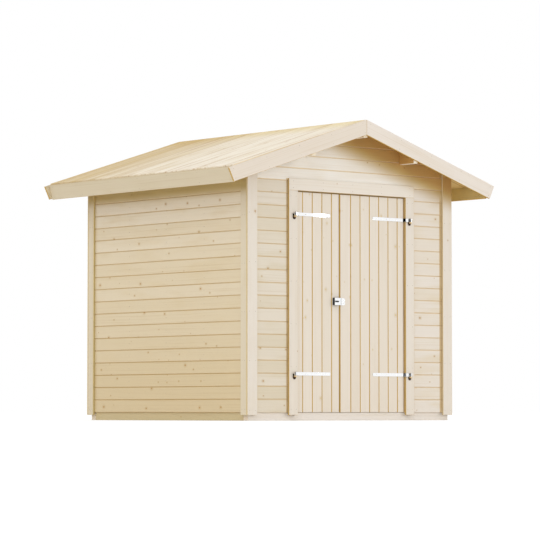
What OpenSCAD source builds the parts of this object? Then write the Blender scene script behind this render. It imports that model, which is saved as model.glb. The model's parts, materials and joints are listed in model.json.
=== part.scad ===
// Wooden garden shed with a gable roof and a pair of unequal boarded doors in the front gable.
// Millimetres, +Z up. The origin is on the ground, under the middle of the shed, and the doors face -Y.

/* [Walls] */
// Width over the wall boards, left to right
wall_w = 2344; // [2000:2:2700]
// Depth over the wall boards, front to back
wall_d = 2238; // [1600:2:2900]
// Thickness of the wall boards
clad_t = 14; // [10:1:20]
// Height of wall, or width of door, that each board covers
board_w = 110; // [80:1:150]
// Height of the lowest wall board
first_board = 113; // [60:1:160]
// Width of the V-shaped groove between two boards
groove_w = 10; // [4:0.5:16]
// Depth of that groove
groove_d = 4; // [2:0.5:7]
// Side of the square framing timber
stud = 45; // [36:1:58]
// Upright studs in each side wall and in the back wall
stud_count = 3; // [1:1:5]

/* [Base and floor] */
// Height of the base beams, which is where the wall boards start
base_h = 68; // [50:1:110]
// Width of the base beams
beam_w = 60; // [60:1:90]
// Joists under the floor
joist_count = 3; // [1:1:5]
// Thickness of the floor boards
floor_t = 18; // [12:1:28]

/* [Roof] */
// Height of the ridge above the doorway's head
ridge_h = 636; // [560:1:900]
// Pitch of the roof in degrees
pitch = 18; // [12:0.5:22]
// Thickness of the roof boards
deck_t = 18; // [14:1:24]
// How far the eaves stand out from the wall boards
eave_out = 329; // [150:1:420]
// How far the roof boards stand out from the gable boards
gable_out = 184; // [80:1:300]
// Width of the ridge purlin and the side purlins
purlin_w = 45; // [36:1:70]
// Height of the purlins, from the underside of the roof boards
purlin_h = 135; // [80:1:170]
// Distance of each side purlin from the ridge
purlin_x = 592; // [560:1:700]

/* [Roof edges] */
// Width of the gable boards that close the roof's front and back
barge_w = 126; // [100:1:160]
// Thickness of those gable boards
barge_t = 18; // [12:1:28]
// How far their upper corners stand past the eave boards
barge_past = 40; // [10:1:80]
// How far their lower corners are cut back
barge_cut = 57; // [0:1:90]
// Width of the eave boards
fascia_w = 135; // [90:1:160]
// Thickness of the eave boards
fascia_t = 18; // [12:1:28]

/* [Cover strips] */
// Thickness of the corner boards and the door's frame boards
trim_t = 16; // [12:1:24]
// Width of the corner boards on the front and the back
corner_w = 110; // [80:1:130]
// Width of the corner boards on the sides
side_corner_w = 77; // [60:1:120]
// Width of the boards beside and over the door
door_trim_w = 102; // [70:1:110]
// How far these boards reach below the wall boards
trim_drop = 22; // [0:1:45]

/* [Doors] */
// Width of the doorway
door_w = 1252; // [1100:2:1300]
// Height of the doorway's head above the ground
door_head = 1967; // [1800:1:2100]
// Width of the narrow leaf on the left
left_leaf_w = 479; // [440:1:600]
// Width of the narrow leaf's board at the meeting edge
left_edge_board = 88; // [60:1:140]
// Width of the wide leaf's board at the meeting edge
right_edge_board = 125; // [60:1:140]
// Thickness of the leaves' boards
leaf_t = 15; // [12:1:20]
// How far the leaves' faces lie behind the frame boards' faces
leaf_recess = 20; // [14:1:26]
// Gap between a leaf and the doorway's side
leaf_side_gap = 6; // [5:0.5:10]
// Gap over the leaves
leaf_top_gap = 10; // [5:0.5:16]
// Gap under the leaves
leaf_foot_gap = 5; // [5:0.5:12]
// Gap between the two leaves
meeting_gap = 8; // [7:0.5:12]
// Bevel along the wide leaf's meeting edge, so that it swings clear of the narrow leaf
meeting_bevel = 9; // [3:0.5:11]
// Width of the ledges across the back of a leaf
ledge_w = 95; // [60:1:130]
// Thickness of those ledges and of the braces between them
ledge_t = 20; // [15:1:24]
// Width of the braces where they stand on the ledges
brace_w = 110; // [60:1:160]
// Height of the middle ledge and the hasp above the leaves' feet
hasp_z = 954; // [750:1:1150]
// Width of the strips that the leaves close against
stop_w = 20; // [10:1:26]

/* [Hinges] */
// Distance of the upper strap hinges below the leaves' tops
hinge_top_z = 191; // [120:1:450]
// Height of the lower strap hinges above the leaves' feet
hinge_foot_z = 326; // [150:1:500]
// Length of a strap, from its pin to its rounded end
strap_l = 424; // [300:1:440]
// Height of a strap
strap_h = 30; // [25:1:60]
// Thickness of a strap
strap_t = 4; // [3:0.5:6]
// Rounding of the corners at a strap's end
strap_end_r = 10; // [4:1:12]
// Radius of the hinge pins
pin_r = 7.5; // [4:0.25:9]
// Distance of the pins from the doorway's sides
pin_out = 44; // [40:1:52]
// Thickness of the plates that carry the pins
hook_t = 3; // [2:0.5:4]
// Width of those plates
hook_w = 34; // [26:1:46]

/* [Hasp] */
// Height of the hasp
hasp_h = 63; // [40:1:80]
// Thickness of its sheet
hasp_t = 3; // [2:0.5:4]
// How far its slotted half stands out from the door
hasp_stand = 24; // [12:1:30]
// Length of its slotted half, on the narrow leaf
keeper_l = 70; // [50:1:90]
// Length of its screwed half, on the wide leaf
plate_l = 55; // [40:1:80]
// Length of the slot
slot_l = 42; // [20:1:44]
// Height of the slot
slot_h = 14; // [8:1:20]

/* [Hidden] */
$fn = 48;

// Outer and inner faces of the wall boards and the framing, as distances from the middle
clad_x = wall_w / 2;
clad_y = wall_d / 2;
frame_x = clad_x - clad_t;
frame_y = clad_y - clad_t;
room_x = frame_x - stud;
room_y = frame_y - stud;
trim_x = clad_x + trim_t;
trim_y = clad_y + trim_t;

// Heights and half width of the doorway, and of its header
door_x = door_w / 2;
header_h = 2 * stud;
trim_foot = base_h - trim_drop;

// The roof's lines: the top of its boards, and what is planed to fit under them, at a distance from the ridge
seat_gap = 0.2;
ridge_z = door_head + ridge_h;
deck_drop = deck_t / cos(pitch);
barge_drop = barge_w / cos(pitch);
function roof_top(x) = ridge_z - abs(x) * tan(pitch);
function roof_under(x) = roof_top(x) - deck_drop - seat_gap;
eave_x = clad_x + eave_out;
deck_y = clad_y + gable_out;
barge_x = eave_x + barge_past;
down_slope = [cos(pitch), -sin(pitch)];
into_roof = [-sin(pitch), -cos(pitch)];
eave_corner = [eave_x, roof_top(eave_x)];
fascia_back = eave_corner - fascia_t * down_slope;
deck_end = fascia_back - seat_gap * down_slope;
purlin_foot = roof_under(purlin_x) - purlin_h;
ridge_purlin_foot = roof_under(0) - purlin_h;

// The two leaves: their faces, ends and heights
leaf_face = -trim_y + leaf_recess;
leaf_back = leaf_face + leaf_t;
leaf_foot = base_h + leaf_foot_gap;
leaf_top = door_head - leaf_top_gap;
left_leaf_x = -door_x + leaf_side_gap;
meeting_left = left_leaf_x + left_leaf_w;
meeting_right = meeting_left + meeting_gap;
right_leaf_x = door_x - leaf_side_gap;
stop_gap = 5;
ledge_stop_clear = 10;
ledge_hinged = door_x - stop_w - ledge_stop_clear;
ledge_meeting_inset = 20;
left_ledge_meeting = meeting_left - ledge_meeting_inset;
right_ledge_meeting = meeting_right + ledge_meeting_inset;
lower_hinge = leaf_foot + hinge_foot_z;
hasp_middle = leaf_foot + hasp_z;
upper_hinge = leaf_top - hinge_top_z;
ledge_heights = [lower_hinge, hasp_middle, upper_hinge];

// Hinges: each eye turns on a pin that stands out from the door's frame boards
eye_clear = 0.3;
eye_r = pin_r + eye_clear + strap_t;
// The strap's plane lies a hair inside the eye's outside, so that the two join
eye_bite = 0.2;
strap_clear = 5;
pin_stand = eye_r + strap_clear;
pin_x = door_x + pin_out;
pin_y = -trim_y - pin_stand;
strap_back = eye_r - eye_bite;
strap_front = strap_back - strap_t;
strap_seat = pin_stand + leaf_recess;
crank_past = 4;
crank_run = 12;
crank_out = pin_out + crank_past;
crank_in = crank_out + crank_run;
crank_shift = strap_t * tan(atan2(strap_seat - strap_back, crank_run) / 2);
hook_drop = 33;
boss_r = pin_r + 2;
boss_h = 13;
pin_over = 1;

// The hasp is parted at the meeting of the leaves, so that either leaf opens by itself
hasp_edge_gap = 4;
hasp_lobe_r = 18;
knuckle_r = 5;
slot_end = 4;
catch_h = 6;
catch_clear = 2;

pale_wood = "#e5dccf";
wall_wood = "#dbd0bb";
side_wood = "#d8c8ae";
roof_wood = "#ecd9b4";
inner_wood = "#d2b98e";
zinc = "#dfe2e6";
dark_iron = "#5c4c3c";

// A box from its lowest to its highest corner
module block(low, high) {
    translate(low) cube(high - low);
}

// An outline in X and Z, drawn out from y_low to y_high
module along_y(y_low, y_high) {
    translate([0, y_high, 0]) rotate([90, 0, 0]) linear_extrude(y_high - y_low) children();
}

// The shape given for the right, and its twin on the left
module left_and_right() {
    children();
    mirror([1, 0, 0]) children();
}

// The shape given for the front, and its twin at the back
module front_and_back() {
    children();
    mirror([0, 1, 0]) children();
}

// An upright wall section in X and Z whose top follows the underside of the roof
module under_roof(x_low, x_high, foot) {
    ridge = x_low < 0 && x_high > 0 ? [[0, roof_under(0)]] : [];
    polygon(concat(
        [[x_low, foot], [x_high, foot], [x_high, roof_under(x_high)]],
        ridge,
        [[x_low, roof_under(x_low)]]
    ));
}

// Sections of the purlins, whose tops are planed to the roof's slope
module ridge_purlin_section() {
    under_roof(-purlin_w / 2, purlin_w / 2, ridge_purlin_foot);
}

module side_purlin_section() {
    under_roof(purlin_x - purlin_w / 2, purlin_x + purlin_w / 2, purlin_foot);
}

// A gable wall's outline, notched for the purlins that pass through it
module gable_section(foot) {
    difference() {
        under_roof(-clad_x, clad_x, foot);
        ridge_purlin_section();
        left_and_right() side_purlin_section();
    }
}

// Evenly spread places between two ends
function spread(count, low, high) = [for (i = [1:count]) low + (high - low) * i / (count + 1)];

module base_cross_beams() {
    color(pale_wood) front_and_back() block([-frame_x, frame_y - beam_w, 0], [frame_x, frame_y, base_h]);
}

module base_side_beams() {
    color(side_wood) left_and_right()
        block([frame_x - beam_w, beam_w - frame_y, 0], [frame_x, frame_y - beam_w, base_h]);
}

module floor_joists() {
    color(inner_wood) for (y = spread(joist_count, beam_w - frame_y, frame_y - beam_w))
        block([beam_w - frame_x, y - stud / 2, 0], [frame_x - beam_w, y + stud / 2, base_h]);
}

module floor_slab() {
    color(inner_wood) block([-room_x, -room_y, base_h], [room_x, room_y, base_h + floor_t]);
}

// A V-shaped cut along X into a face that looks along -Y
module groove(length) {
    rotate([90, 0, 90]) linear_extrude(length)
        polygon([[groove_d, 0], [-groove_d, groove_w], [-groove_d, -groove_w]]);
}

// Heights of the joints between the wall boards that lie clear of a wall's foot and top
function wall_joints(foot, top) = [
    for (z = [base_h + first_board:board_w:top]) if (z > foot + groove_w && z < top - groove_w) z
];

// The grooves across the front wall, or across the back wall by mirroring
module front_grooves(foot, top) {
    for (z = wall_joints(foot, top)) translate([-trim_x, -clad_y, z]) groove(2 * trim_x);
}

module side_wall() {
    color(side_wood) difference() {
        along_y(-frame_y, frame_y) under_roof(frame_x, clad_x, base_h);
        for (z = wall_joints(base_h, roof_under(clad_x)))
            translate([clad_x, -trim_y, z]) rotate([0, 0, 90]) groove(2 * trim_y);
    }
}

module back_wall() {
    color(wall_wood) mirror([0, 1, 0]) difference() {
        along_y(-clad_y, -frame_y) gable_section(base_h);
        front_grooves(base_h, ridge_z);
    }
}

module front_wall_right() {
    color(wall_wood) difference() {
        block([door_x, -clad_y, base_h], [clad_x, -frame_y, door_head]);
        front_grooves(base_h, door_head);
    }
}

module front_gable() {
    color(wall_wood) difference() {
        along_y(-clad_y, -frame_y) gable_section(door_head);
        front_grooves(door_head, ridge_z);
    }
}

module corner_posts() {
    color(inner_wood) front_and_back() left_and_right()
        along_y(room_y, frame_y) under_roof(room_x, frame_x, base_h);
}

module bottom_plates() {
    top = base_h + stud;
    color(inner_wood) {
        left_and_right() {
            block([room_x, -room_y, base_h], [frame_x, room_y, top]);
            block([door_x + stud, -frame_y, base_h], [room_x, -room_y, top]);
        }
        block([-room_x, room_y, base_h], [room_x, frame_y, top]);
    }
}

module wall_studs() {
    foot = base_h + stud;
    side_top = roof_under(frame_x) - stud;
    color(inner_wood) {
        left_and_right() for (y = spread(stud_count, -room_y, room_y))
            block([room_x, y - stud / 2, foot], [frame_x, y + stud / 2, side_top]);
        for (x = spread(stud_count, -room_x, room_x))
            block([x - stud / 2, room_y, foot], [x + stud / 2, frame_y, door_head]);
    }
}

module top_plates() {
    color(inner_wood) left_and_right()
        along_y(-room_y, room_y) under_roof(room_x, frame_x, roof_under(frame_x) - stud);
}

module back_rail() {
    color(inner_wood) block([-room_x, room_y, door_head], [room_x, frame_y, door_head + stud]);
}

module door_posts() {
    color(inner_wood) left_and_right()
        block([door_x, -frame_y, base_h], [door_x + stud, -room_y, door_head]);
}

module door_header() {
    color(inner_wood)
        block([-door_x - stud, -frame_y, door_head], [door_x + stud, -room_y, door_head + header_h]);
}

module door_side_stops() {
    color(inner_wood) left_and_right()
        block([door_x - stop_w, leaf_back + stop_gap, base_h], [door_x, -room_y, door_head - stop_w]);
}

module door_head_stop() {
    color(inner_wood)
        block([-door_x, leaf_back + stop_gap, door_head - stop_w], [door_x, -room_y, door_head]);
}

// Short posts that carry the purlins on the header and on the back rail
module gable_posts() {
    half = stud / 2;
    color(inner_wood) {
        for (x = [-purlin_x, 0, purlin_x]) {
            top = (x == 0 ? ridge_purlin_foot : purlin_foot) - seat_gap;
            block([x - half, -frame_y, door_head + header_h], [x + half, -room_y, top]);
            block([x - half, room_y, door_head + stud], [x + half, frame_y, top]);
        }
    }
}

module ridge_purlin() {
    color(inner_wood) along_y(-deck_y, deck_y) ridge_purlin_section();
}

module side_purlins() {
    color(inner_wood) left_and_right() along_y(-deck_y, deck_y) side_purlin_section();
}

module roof_slope() {
    color(roof_wood) along_y(-deck_y, deck_y) polygon([
        [0, ridge_z], deck_end, deck_end + deck_t * into_roof, [0, ridge_z - deck_drop]
    ]);
}

// The eave boards stand square to the slope and cover the ends of the roof boards
module eave_fascias() {
    color(side_wood) left_and_right() along_y(-deck_y, deck_y) polygon([
        eave_corner, eave_corner + fascia_w * into_roof, fascia_back + fascia_w * into_roof, fascia_back
    ]);
}

module gable_boards() {
    low_x = barge_x - barge_cut;
    color(pale_wood) front_and_back() along_y(deck_y, deck_y + barge_t) polygon([
        [0, ridge_z], [barge_x, roof_top(barge_x)],
        [low_x, roof_top(low_x) - barge_drop], [0, ridge_z - barge_drop]
    ]);
}

module gable_corner_trims() {
    color(pale_wood) front_and_back() left_and_right()
        along_y(clad_y, trim_y) under_roof(trim_x - corner_w, trim_x, trim_foot);
}

module side_corner_trims() {
    color(side_wood) front_and_back() left_and_right()
        along_y(clad_y - side_corner_w, clad_y) under_roof(clad_x, trim_x, trim_foot);
}

module door_side_trims() {
    color(pale_wood) left_and_right()
        block([door_x, -trim_y, trim_foot], [door_x + door_trim_w, -clad_y, door_head]);
}

module door_head_trim() {
    reach = door_x + door_trim_w;
    color(pale_wood) block([-reach, -trim_y, door_head], [reach, -clad_y, door_head + door_trim_w]);
}

// A hook for a strap hinge: a round-ended plate on the frame board, an arm and an upright pin
module hinge_hook(z) {
    eye_foot = z - strap_h / 2;
    boss_top = eye_foot - eye_clear;
    plate_foot = eye_foot - hook_drop;
    translate([pin_x, pin_y, 0]) {
        along_y(pin_stand - hook_t, pin_stand) {
            translate([0, plate_foot + hook_w / 2]) circle(hook_w / 2);
            translate([-hook_w / 2, plate_foot + hook_w / 2]) square([hook_w, z - plate_foot - hook_w / 2]);
        }
        block([-pin_r, 0, boss_top - boss_h], [pin_r, pin_stand, boss_top]);
        translate([0, 0, boss_top - boss_h]) cylinder(r = boss_r, h = boss_h);
        translate([0, 0, boss_top - boss_h]) cylinder(r = pin_r, h = boss_h + strap_h + pin_over);
    }
}

module hinge_hooks() {
    color(dark_iron) left_and_right() {
        hinge_hook(upper_hinge);
        hinge_hook(lower_hinge);
    }
}

// A strap hinge of the right leaf: flat on the leaf, cranked out over the frame board to its rolled eye
module strap_hinge(z) {
    translate([pin_x, pin_y, z - strap_h / 2]) difference() {
        union() {
            intersection() {
                linear_extrude(strap_h) polygon([
                    [0, strap_front], [-crank_out - crank_shift, strap_front],
                    [-crank_in - crank_shift, strap_seat - strap_t], [-strap_l, strap_seat - strap_t],
                    [-strap_l, strap_seat], [-crank_in, strap_seat], [-crank_out, strap_back], [0, strap_back]
                ]);
                along_y(0, strap_seat + 1) strap_outline();
            }
            cylinder(r = eye_r, h = strap_h);
        }
        translate([0, 0, -1]) cylinder(r = pin_r + eye_clear, h = strap_h + 2);
    }
}

// A strap seen from the front, with the corners of its far end rounded
module strap_outline() {
    translate([strap_end_r - strap_l, 0]) square([strap_l, strap_h]);
    translate([-strap_l, strap_end_r]) square([strap_l, strap_h - 2 * strap_end_r]);
    for (z = [strap_end_r, strap_h - strap_end_r])
        translate([strap_end_r - strap_l, z]) circle(strap_end_r);
}

module strap_pair() {
    color(zinc) {
        strap_hinge(upper_hinge);
        strap_hinge(lower_hinge);
    }
}

// The slant that is planed off a leaf's front corner, along its meeting edge
module meeting_slant(meeting, way, bevel) {
    translate([meeting, leaf_face, leaf_foot - 1]) linear_extrude(leaf_top - leaf_foot + 2)
        polygon([[-way, bevel + 1], [way * (bevel + 1), -1], [-way, -1]]);
}

// A leaf of upright boards, from its meeting edge to its hinged edge
module door_leaf(meeting, hinged, edge_board, bevel = 0) {
    way = sign(hinged - meeting);
    joint_count = floor((abs(hinged - meeting) - edge_board - groove_w) / board_w);
    color(pale_wood) difference() {
        block([min(meeting, hinged), leaf_face, leaf_foot], [max(meeting, hinged), leaf_back, leaf_top]);
        for (i = [0:joint_count])
            translate([meeting + way * (edge_board + i * board_w), leaf_face, 0])
                rotate([0, -90, 0]) groove(ridge_z);
        if (bevel > 0) meeting_slant(meeting, way, bevel);
    }
}

module door_ledges(x_low, x_high) {
    color(inner_wood) for (z = ledge_heights)
        block([x_low, leaf_back, z - ledge_w / 2], [x_high, leaf_back + ledge_t, z + ledge_w / 2]);
}

// Two braces that rise from the hinged side of a leaf to its meeting side, from ledge to ledge
module door_braces(hinged, meeting) {
    cut = brace_w * sign(meeting - hinged);
    color(inner_wood) for (i = [0, 1]) {
        foot = ledge_heights[i] + ledge_w / 2;
        top = ledge_heights[i + 1] - ledge_w / 2;
        along_y(leaf_back, leaf_back + ledge_t)
            polygon([[hinged, foot], [hinged + cut, foot], [meeting, top], [meeting - cut, top]]);
    }
}

// The hasp's slotted half stands out from the narrow leaf on its two bent edges, over a catch
module hasp_keeper() {
    x_high = meeting_left - hasp_edge_gap;
    x_low = x_high - keeper_l;
    out = leaf_face - hasp_stand;
    foot = hasp_middle - hasp_h / 2;
    slot_foot = hasp_middle - slot_h / 2;
    color(zinc) {
        difference() {
            block([x_low, out - hasp_t, foot], [x_high, out, foot + hasp_h]);
            block(
                [x_low + slot_end, out - hasp_t - 1, slot_foot],
                [x_low + slot_end + slot_l, out + 1, slot_foot + slot_h]
            );
        }
        for (x = [x_low, x_high - hasp_t])
            block([x, out - hasp_t, foot], [x + hasp_t, leaf_face, foot + hasp_h]);
        block(
            [x_low + slot_end + slot_h, out + catch_clear, hasp_middle - catch_h / 2],
            [x_high, leaf_face, hasp_middle + catch_h / 2]
        );
    }
}

// The hasp's screwed half, flat on the wide leaf, with two round lobes and the knuckle that its flap would turn on
module hasp_plate() {
    x_low = meeting_right + hasp_edge_gap;
    foot = hasp_middle - hasp_h / 2;
    lobe_x = x_low + plate_l - hasp_lobe_r;
    color(zinc) {
        along_y(leaf_face - hasp_t, leaf_face) {
            translate([x_low, foot]) square([plate_l - hasp_lobe_r, hasp_h]);
            for (z = [foot + hasp_lobe_r, foot + hasp_h - hasp_lobe_r])
                translate([lobe_x, z]) circle(hasp_lobe_r);
        }
        translate([x_low + knuckle_r, leaf_face - knuckle_r - eye_bite, foot])
            cylinder(r = knuckle_r, h = hasp_h);
    }
}

base_cross_beams();
base_side_beams();
floor_joists();
floor_slab();  // floor
mirror([1, 0, 0]) side_wall();  // left_wall
side_wall();  // right_wall
back_wall();
mirror([1, 0, 0]) front_wall_right();  // front_wall_left
front_wall_right();
front_gable();
corner_posts();
bottom_plates();
wall_studs();
top_plates();
back_rail();
door_posts();
door_header();
door_side_stops();
door_head_stop();
gable_posts();
ridge_purlin();
side_purlins();
mirror([1, 0, 0]) roof_slope();  // left_roof
roof_slope();  // right_roof
eave_fascias();
mirror([1, 0, 0]) gable_boards();  // left_bargeboards
gable_boards();  // right_bargeboards
gable_corner_trims();
side_corner_trims();
door_side_trims();
door_head_trim();
hinge_hooks();
door_leaf(meeting_left, left_leaf_x, left_edge_board);  // left_door
door_ledges(-ledge_hinged, left_ledge_meeting);  // left_door_ledges
door_braces(-ledge_hinged, left_ledge_meeting);  // left_door_braces
mirror([1, 0, 0]) strap_pair();  // left_hinge_straps
hasp_keeper();
door_leaf(meeting_right, right_leaf_x, right_edge_board, meeting_bevel);  // right_door
door_ledges(right_ledge_meeting, ledge_hinged);  // right_door_ledges
door_braces(ledge_hinged, right_ledge_meeting);  // right_door_braces
strap_pair();  // right_hinge_straps
hasp_plate();
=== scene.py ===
# %% [markdown]
# # A boarded garden shed
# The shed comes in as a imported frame: every timber, door leaf and hinge already has its real size and
# place, in metres. This lesson gives it its looks. It lays the single boards of the walls, doors, roof and
# floor, eases the edges of the timbers, draws grain and knots into the wood, zinc-plates the iron, and
# lights the shed softly on a white floor.

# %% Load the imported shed
import json
import math
import random

import bmesh
import bpy
from mathutils import Matrix, Vector

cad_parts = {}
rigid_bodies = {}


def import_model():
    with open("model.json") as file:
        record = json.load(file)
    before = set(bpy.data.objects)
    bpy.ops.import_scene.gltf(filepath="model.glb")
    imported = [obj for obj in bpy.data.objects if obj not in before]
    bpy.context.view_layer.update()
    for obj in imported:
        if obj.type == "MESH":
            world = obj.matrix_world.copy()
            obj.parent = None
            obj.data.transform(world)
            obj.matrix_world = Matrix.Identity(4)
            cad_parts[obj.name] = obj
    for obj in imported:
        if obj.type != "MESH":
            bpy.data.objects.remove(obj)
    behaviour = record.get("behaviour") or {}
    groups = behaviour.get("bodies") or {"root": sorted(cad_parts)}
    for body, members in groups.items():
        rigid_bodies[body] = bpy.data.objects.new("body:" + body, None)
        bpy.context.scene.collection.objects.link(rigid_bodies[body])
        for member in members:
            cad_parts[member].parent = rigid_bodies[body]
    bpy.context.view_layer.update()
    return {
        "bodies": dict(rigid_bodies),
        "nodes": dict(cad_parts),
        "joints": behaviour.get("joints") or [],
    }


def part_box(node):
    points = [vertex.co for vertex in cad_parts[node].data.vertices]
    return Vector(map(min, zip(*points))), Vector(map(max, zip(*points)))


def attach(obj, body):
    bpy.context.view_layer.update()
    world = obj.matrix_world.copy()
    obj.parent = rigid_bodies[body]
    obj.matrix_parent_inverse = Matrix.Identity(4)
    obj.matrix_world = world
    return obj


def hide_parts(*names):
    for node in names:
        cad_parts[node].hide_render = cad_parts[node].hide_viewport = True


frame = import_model()
print("loaded", len(frame["nodes"]), "nodes on the bodies", sorted(frame["bodies"]))

# %% [markdown]
# ## The camera
# The shed is seen from the left of its doors, from far away and close to the ground, through a long lens.
# The camera's place was worked out from the board joints and the corners of the building, so it is given
# here as plain numbers. A slight upward tilt does the same as a lens shift, and keeps other views centred.

# %% Stand the camera
PHOTO_SIDE = 540
FOCAL_PIXELS = 2804.1
SENSOR_MM = 36
CAMERA_PLACE = (-16.207, -19.313, 0.085)
CAMERA_TURN = 40.025
CAMERA_TILT = 2.87


def add_object(name, data):
    """A new object in the scene, at the origin."""
    added = bpy.data.objects.new(name, data)
    bpy.context.scene.collection.objects.link(added)
    return added


lens = bpy.data.cameras.new("long_lens")
lens.sensor_width = SENSOR_MM
lens.lens = SENSOR_MM * FOCAL_PIXELS / PHOTO_SIDE
camera = add_object("camera", lens)
camera.location = CAMERA_PLACE
camera.rotation_euler = (math.radians(90 + CAMERA_TILT), 0, -math.radians(CAMERA_TURN))
bpy.context.scene.camera = camera
print("lens of", round(lens.lens, 1), "mm at", CAMERA_PLACE)

# %% [markdown]
# ## The shed's own measures
# All sizes come from the frame: the outer faces from the boxes of the walls, and the slope of the roof from
# the height that the front gable gains between the side wall and the ridge.

# %% Measure the walls and the roof
BOARD_COVER = 0.110
FIRST_BOARD = 0.113
left_low, left_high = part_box("left_wall")
front_low, front_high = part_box("front_wall_left")
gable_low, gable_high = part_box("front_gable")
roof_low, roof_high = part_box("right_roof")
barge_low, barge_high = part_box("right_bargeboards")
WALL_FOOT = left_low.z
WALL_X = -left_low.x
WALL_Y = -front_low.y
CLAD_T = left_high.x - left_low.x
DOOR_X = -front_high.x
DOOR_HEAD = gable_low.z
FIRST_JOINT = WALL_FOOT + FIRST_BOARD
RIDGE = barge_high.z
UNDER_RIDGE = gable_high.z
SLOPE = (UNDER_RIDGE - left_high.z) / (WALL_X - CLAD_T)
PITCH = math.atan(SLOPE)
HEAD_JOINT = FIRST_JOINT + BOARD_COVER * math.ceil((DOOR_HEAD - FIRST_JOINT) / BOARD_COVER)
print("roof pitch", round(math.degrees(PITCH), 2), "degrees, doorway", round(2 * DOOR_X, 3), "m wide")

# %% [markdown]
# ## Nodes written as expressions
# Wood and boards are both made with node trees, and a tree is easier to read as a formula than as a list of
# links. The class below wraps one output of a node. Sums and products of such wires add Math nodes, and
# `node` adds any other node: first its settings, then the values or wires of its sockets. A wire can also
# ramp smoothly from 0 to 1, or be the share in which two colours are mixed.

# %% A wire between nodes
class Wire:
    """One output of a node in a tree. Arithmetic on wires adds Math nodes to that tree."""

    def __init__(self, tree, output=None):
        self.tree = tree
        self.output = output

    def node(self, kind, settings=None, sockets=None):
        added = self.tree.nodes.new(kind)
        for name, setting in (settings or {}).items():
            setattr(added, name, setting)
        usable = [socket for socket in added.inputs if socket.enabled]
        for key, value in (sockets or {}).items():
            socket = added.inputs[key] if isinstance(key, int) else next(s for s in usable if s.name == key)
            if isinstance(value, Wire):
                self.tree.links.new(value.output, socket)
            else:
                socket.default_value = value
        return Wire(self.tree, next((output for output in added.outputs if output.enabled), None))

    def __getitem__(self, name):
        return Wire(self.tree, next(o for o in self.output.node.outputs if o.enabled and o.name == name))

    def math(self, operation, first, second):
        return self.node("ShaderNodeMath", {"operation": operation}, {0: first, 1: second})

    def __add__(self, other):
        return self.math("ADD", self, other)

    def __radd__(self, other):
        return self.math("ADD", other, self)

    def __sub__(self, other):
        return self.math("SUBTRACT", self, other)

    def __rsub__(self, other):
        return self.math("SUBTRACT", other, self)

    def __mul__(self, other):
        return self.math("MULTIPLY", self, other)

    def __rmul__(self, other):
        return self.math("MULTIPLY", other, self)

    def __truediv__(self, other):
        return self.math("DIVIDE", self, other)

    def __gt__(self, other):
        return self.math("GREATER_THAN", self, other)

    def least(self, other):
        return self.math("MINIMUM", self, other)

    def most(self, other):
        return self.math("MAXIMUM", self, other)

    def vector(self, x, y, z):
        return self.node("ShaderNodeCombineXYZ", None, {0: x, 1: y, 2: z})

    def parts(self):
        split = self.node("ShaderNodeSeparateXYZ", None, {0: self})
        return split["X"], split["Y"], split["Z"]

    def ramp(self, low, high):
        return self.node("ShaderNodeMapRange", {"interpolation_type": "SMOOTHSTEP"},
                         {"Value": self, "From Min": low, "From Max": high})

    def mix(self, first, second, way="MIX"):
        return self.node("ShaderNodeMix", {"data_type": "RGBA", "blend_type": way},
                         {"Factor": self, "A": first, "B": second})


def paint(web_colour):
    """A colour written as on a web page, as the linear numbers that a shader takes."""
    shares = [int(web_colour[i:i + 2], 16) / 255 for i in (1, 3, 5)]
    return (*[s / 12.92 if s <= 0.04045 else ((s + 0.055) / 1.055) ** 2.4 for s in shares], 1)


print("a pale wood in linear light:", [round(c, 3) for c in paint("#e5dbcd")])

# %% [markdown]
# ## Painted shade and light
# A brown painted shade stands in for the shadows under the eaves, under the overhang of the gable, and in a
# narrow line beside an upright cover strip. It falls as from a low light at the right of the doors, where
# the main lamp will stand too. On the front the painted shade therefore lies under the ridge and the right
# slope, and the gable is painted palest, as painted light, at its left and just over the doors. Painting
# this on every board by hand would be slow, so a wood finish is told the measures of its painted shade
# instead: `lean` and `drop` say how far the shade falls to the side and down, `soft` how blurred its edge
# is, and `left share` how steeply it follows the left slope.

# %% Measure the painted shade
# the direction that the painted shade falls from, where the main lamp stands
SHADE_CAST_FROM = Vector((2.1, -1, 0.68))
RIDGE_BAND = 0.36
overhang = WALL_Y + barge_low.y
corner_strips = frame["nodes"]["gable_corner_trims"].data.vertices
corner_edge = min(vertex.co.x for vertex in corner_strips if vertex.co.x > 0)
side_strips = frame["nodes"]["side_corner_trims"].data.vertices
far_edge = min(vertex.co.y for vertex in side_strips if vertex.co.y > 0)
head_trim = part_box("door_head_trim")[1]
# painted shade under the gable's overhang, with a deeper painted shade close under the roof
GABLE_SHADE = {
    "lean": overhang * SHADE_CAST_FROM.x / SHADE_CAST_FROM.y,
    "drop": overhang * SHADE_CAST_FROM.z / SHADE_CAST_FROM.y,
    "soft": 0.1, "left share": 0.75, "strips": (), "tint": "#dbc081", "deep tint": "#f3e3d9",
}
# painted shadow in a narrow line beside the upright strips on the front
FRONT_STRIP_SHADOW = {"across": "x", "soft": 0.006, "depth": 0.76}
WALL_SHADE = {**GABLE_SHADE, "strips": (
    {**FRONT_STRIP_SHADOW, "edge": -head_trim.x, "top": head_trim.z, "reach": 0.018},
    {**FRONT_STRIP_SHADOW, "edge": corner_edge, "top": RIDGE, "reach": 0.029},
)}
# painted shadow beside the far corner strip of a side wall
SIDE_STRIP_SHADOW = {"across": "y", "edge": far_edge, "top": RIDGE, "reach": 0.015, "soft": 0.03, "depth": 0.6}
# painted shade under the eaves on the side walls
EAVE_SHADE = {
    "lean": 0.0, "drop": 0.262, "soft": 0.055, "left share": 1.0,
    "strips": (SIDE_STRIP_SHADOW,), "tint": "#dcd0a3",
}
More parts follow.
